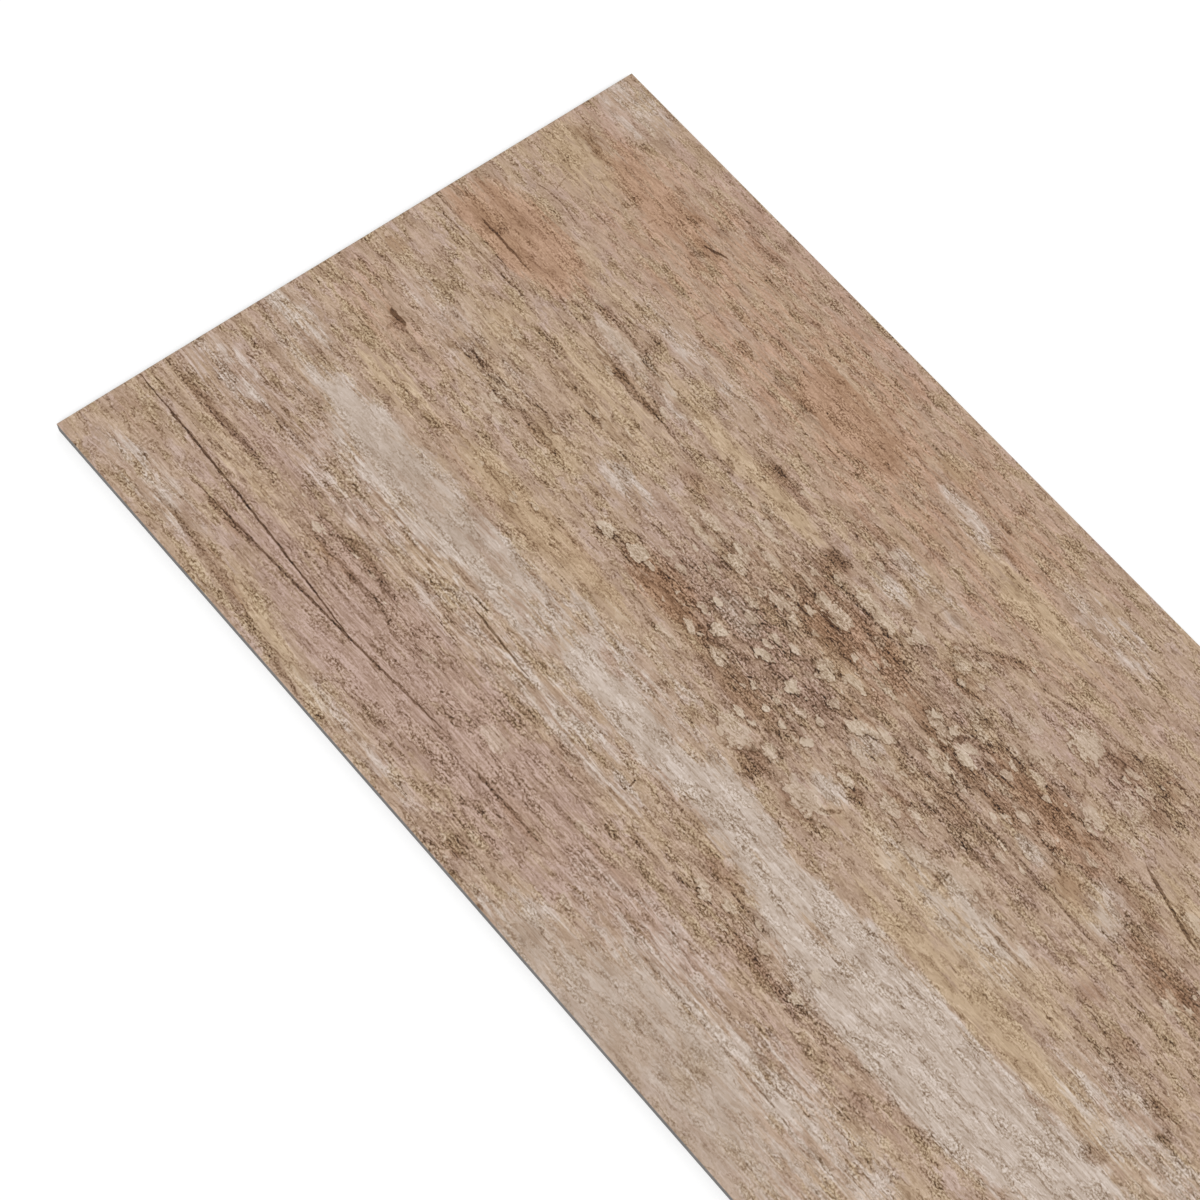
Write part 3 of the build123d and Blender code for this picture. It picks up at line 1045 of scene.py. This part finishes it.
emboss = work(tree, "MINIMUM", work(tree, "SUBTRACT", wrinkles_beside, wrinkles_here), 0.06)
tone = work(tree, "MULTIPLY_ADD", work(tree, "MULTIPLY", emboss, tooth), 0.5, tone)
bare = fade(tree, skin_here, 0.35, 0.32)
tone = work(tree, "MULTIPLY_ADD", bare, -0.05, tone)
dashes = fade(tree, short_fibres, 0.47, 0.35)
tone = work(tree, "MULTIPLY_ADD", work(tree, "MULTIPLY", dashes, worn), -0.16, tone)

# Small chips of paint that are left in the worn patches, rounded and of all sizes
chip_white = ink(209, 190, 169)
chip_cells = (4.6, 2.4)
feeds = {0: ragged_place, 1: (1 / chip_cells[0], 1 / chip_cells[1], 0)}
feeds = {"Vector": put(tree, "ShaderNodeVectorMath", feeds, operation="MULTIPLY"), "Scale": 1.0}
cells = put(tree, "ShaderNodeTexVoronoi", feeds, voronoi_dimensions="2D").node
chance = put(tree, "ShaderNodeSeparateXYZ", {0: cells.outputs["Color"]}).node.outputs
from_middle = put(
    tree, "ShaderNodeVectorMath", {0: feeds["Vector"], 1: cells.outputs["Position"]}, operation="SUBTRACT"
)
above_middle = put(tree, "ShaderNodeSeparateXYZ", {0: from_middle}, give="Y")
radius = work(tree, "MULTIPLY_ADD", work(tree, "POWER", chance["X"], 2.0), 0.42, 0.08)
around = work(tree, "DIVIDE", cells.outputs["Distance"], radius)
around = work(tree, "ADD", around, swing(tree, wrinkles_here, 0.8))
scattered = fade(tree, chance["Y"], 0.35, 0.85, 0.0, 0.9)
scattered = work(tree, "MULTIPLY", fade(tree, worn, 0.0, 0.4), scattered)
chip = work(tree, "MULTIPLY", fade(tree, around, 1.05, 0.85), scattered)
colour = overprint(tree, work(tree, "MULTIPLY", chip, 0.85), colour, chip_white)
tone = work(tree, "MULTIPLY", tone, work(tree, "MULTIPLY_ADD", chip, -0.7, 1.0))
rim_band = work(tree, "MULTIPLY", fade(tree, around, 1.9, 1.1), fade(tree, around, 0.8, 1.05))
rim_band = work(tree, "MULTIPLY", rim_band, scattered)
tone = work(tree, "MULTIPLY_ADD", rim_band, fade(tree, above_middle, 0.1, -0.12, 0.06, -0.26), tone)

# Chips and strokes, from the sheet's layers
stroke_tone = -0.54
shake_along = swing(tree, grain(tree, place, 2.2, 1.3, 14, 3.0, 0.55), 1.1)
shake_across = swing(tree, grain(tree, place, 2.2, 1.3, 15, 3.0, 0.55), 1.1)
fine_shake = work(tree, "ADD", shake_across, swing(tree, wrinkles_here, 0.9))
for name, _ in chip_layers:
    parts = put(tree, "ShaderNodeSeparateXYZ", {0: stored(tree, name, "Vector")}).node.outputs
    along = work(tree, "ADD", parts["X"], shake_along)
    across = work(tree, "ADD", parts["Y"], shake_across)
    around = work(tree, "MULTIPLY_ADD", along, along, work(tree, "MULTIPLY", across, across))
    chip = work(tree, "MULTIPLY", fade(tree, around, 1.1, 0.85), parts["Z"])
    colour = overprint(tree, chip, colour, chip_white)
    tone = work(tree, "MULTIPLY", tone, work(tree, "MULTIPLY_ADD", chip, -0.65, 1.0))
    rim_band = work(tree, "MULTIPLY", fade(tree, around, 2.0, 1.2), fade(tree, around, 0.8, 1.1))
    rim_band = work(tree, "MULTIPLY", rim_band, parts["Z"])
    side = fade(tree, across, 0.5, -0.4, 0.06, -0.42)
    tone = work(tree, "MULTIPLY_ADD", rim_band, side, tone)
hatched = work(tree, "MULTIPLY_ADD", dashes, 0.3, work(tree, "MULTIPLY_ADD", dark_dots, 0.6, 0.3))
for name, _ in stroke_layers:
    parts = put(tree, "ShaderNodeSeparateXYZ", {0: stored(tree, name, "Vector")}).node.outputs
    across = work(tree, "MULTIPLY_ADD", fine_shake, 0.8, parts["Y"])
    tips = work(tree, "POWER", work(tree, "ABSOLUTE", parts["X"]), 3.0)
    around = work(tree, "MULTIPLY_ADD", across, across, tips)
    stroke = work(tree, "MULTIPLY", fade(tree, around, 1.15, 0.6), work(tree, "POWER", parts["Z"], 1.5))
    broken = work(tree, "MAXIMUM", hatched, fade(tree, parts["Z"], 0.7, 0.95, 0.0, 0.85))
    tone = work(tree, "MULTIPLY_ADD", work(tree, "MULTIPLY", stroke, broken), stroke_tone, tone)
    below = work(tree, "ADD", across, 1.7)
    below = work(tree, "MULTIPLY_ADD", below, below, tips)
    pale = work(tree, "MULTIPLY", fade(tree, below, 1.0, 0.2), parts["Z"])
    tone = work(tree, "MULTIPLY_ADD", pale, 0.05, tone)

# Darker print is browner and paler print is greyer
usual_brightness = 1.01
darkest = 0.2
palest = 1.15
ink_powers = (2.1, 2.55, 3.1)
brightness = work(tree, "MAXIMUM", work(tree, "ADD", tone, usual_brightness), darkest)
brightness = work(tree, "MINIMUM", brightness, palest)
inks = put(tree, "ShaderNodeVectorMath", {0: brightness, 1: ink_powers}, operation="POWER")
colour = put(tree, "ShaderNodeVectorMath", {0: colour, 1: inks}, operation="MULTIPLY")
tree.links.new(colour, shader.inputs["Base Color"])
tree.links.new(fade(tree, cloud, 0.3, 0.7, 0.56, 0.7), shader.inputs["Roughness"])
shader.inputs["Specular IOR Level"].default_value = 0.3
pore_depth = 0.00006
pores = grain(tree, place, 1.5, 0.5, 21, 2.0, 0.6)
feeds = {"Height": pores, "Distance": pore_depth, "Strength": 1.0}
tree.links.new(put(tree, "ShaderNodeBump", feeds), shader.inputs["Normal"])


# Filled vinyl
# The core and the backing are vinyl filled with chalk. It shows as fine pale specks in faint clouds.
filled_vinyl = bpy.data.node_groups.new("filled_vinyl", "ShaderNodeTree")
filled_vinyl.interface.new_socket("Vinyl", in_out="INPUT", socket_type="NodeSocketColor")
filled_vinyl.interface.new_socket("Chalk", in_out="INPUT", socket_type="NodeSocketFloat")
filled_vinyl.interface.new_socket("Colour", in_out="OUTPUT", socket_type="NodeSocketColor")
filled_vinyl.interface.new_socket("Specks", in_out="OUTPUT", socket_type="NodeSocketFloat")


def millimetres(tree):
    """The place on the plank, from its middle, in millimetres."""
    feeds = {0: put(tree, "ShaderNodeTexCoord", give="Object"), "Scale": mm}
    return put(tree, "ShaderNodeVectorMath", feeds, operation="SCALE")


tree = filled_vinyl
given = tree.nodes.new("NodeGroupInput").outputs
feeds = {"Vector": millimetres(tree), "Scale": 2.8, "Detail": 3.0, "Roughness": 0.7}
specks = fade(tree, put(tree, "ShaderNodeTexNoise", feeds), 0.5, 0.72)
feeds = {"Vector": millimetres(tree), "Scale": 0.16, "Detail": 3.0, "Roughness": 0.6}
haze = fade(tree, put(tree, "ShaderNodeTexNoise", feeds), 0.35, 0.7, 0.0, 0.5)
chalky = work(tree, "MULTIPLY", work(tree, "ADD", specks, haze), given["Chalk"])
chalk_white = ink(196, 194, 190)
put_out = tree.nodes.new("NodeGroupOutput").inputs
tree.links.new(overprint(tree, chalky, given["Vinyl"], chalk_white), put_out["Colour"])
tree.links.new(specks, put_out["Specks"])


# Cut sides
# Where the die has cut through the sheet, its dark grey core shows, dull and finely scored, with the
# paler edge of the print and wear layers on top of it.
core_grey = ink(108, 105, 103)
film_beige = ink(152, 138, 124)
film_height = (2.56, 2.62)
score_depth = 0.00012

core = bpy.data.materials.new("cut_core")
core.use_nodes = True
tree = core.node_tree
shader = tree.nodes["Principled BSDF"]
vinyl = put(tree, "ShaderNodeGroup", {}, node_tree=filled_vinyl).node
vinyl.inputs["Vinyl"].default_value = core_grey
vinyl.inputs["Chalk"].default_value = 0.16
height = put(tree, "ShaderNodeSeparateXYZ", {0: millimetres(tree)}, give="Z")
film_edge = fade(tree, height, *film_height, 0.0, 0.75)
colour = overprint(tree, film_edge, vinyl.outputs["Colour"], film_beige)
tree.links.new(colour, shader.inputs["Base Color"])
shader.inputs["Roughness"].default_value = 0.8
feeds = {0: millimetres(tree), 1: (3.2, 3.2, 0.25)}
scored = put(tree, "ShaderNodeVectorMath", feeds, operation="MULTIPLY")
feeds = {"Vector": scored, "Scale": 1.0, "Detail": 3.0, "Roughness": 0.6}
feeds = {"Height": put(tree, "ShaderNodeTexNoise", feeds), "Distance": score_depth, "Strength": 1.0}
tree.links.new(put(tree, "ShaderNodeBump", feeds), shader.inputs["Normal"])


# Underside
# The backing is grey vinyl that keeps the fine, uneven weave of the belt it was pressed on, for the glue
# to hold.
backing_grey = ink(116, 117, 118)
hollow_shade_grey = ink(70, 70, 72)
thread_sizes = ((7.0, 0.9), (0.9, 7.0))
weave_depth = 0.00004

backing = bpy.data.materials.new("grey_backing")
backing.use_nodes = True
tree = backing.node_tree
shader = tree.nodes["Principled BSDF"]
vinyl = put(tree, "ShaderNodeGroup", {}, node_tree=filled_vinyl).node
vinyl.inputs["Vinyl"].default_value = backing_grey
vinyl.inputs["Chalk"].default_value = 0.12
threads = [grain(tree, millimetres(tree), *size, 41, 2.0, 0.6) for size in thread_sizes]
weave = work(tree, "MAXIMUM", *threads)
# Painted shade: the weave's hollows are darkened in the colour, where the bump already sinks them.
hollows = fade(tree, weave, 0.62, 0.48, 0.0, 0.14)
colour = overprint(tree, hollows, vinyl.outputs["Colour"], hollow_shade_grey)
tree.links.new(colour, shader.inputs["Base Color"])
tree.links.new(fade(tree, vinyl.outputs["Specks"], 0.0, 1.0, 0.66, 0.8), shader.inputs["Roughness"])
feeds = {"Height": weave, "Distance": weave_depth, "Strength": 1.0}
tree.links.new(put(tree, "ShaderNodeBump", feeds), shader.inputs["Normal"])


# Finished plank
# The printed face and its rolled-over edge show the film, the cut sides the core, and the back its vinyl.
nearly_upright = 0.2
for finish in (printed_film, core, backing):
    sheet.materials.append(finish)
for face in sheet.polygons:
    if face.normal.z < -nearly_level:
        face.material_index = 2
    elif face.normal.z < nearly_upright:
        face.material_index = 1

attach(plank, body)
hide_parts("plank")
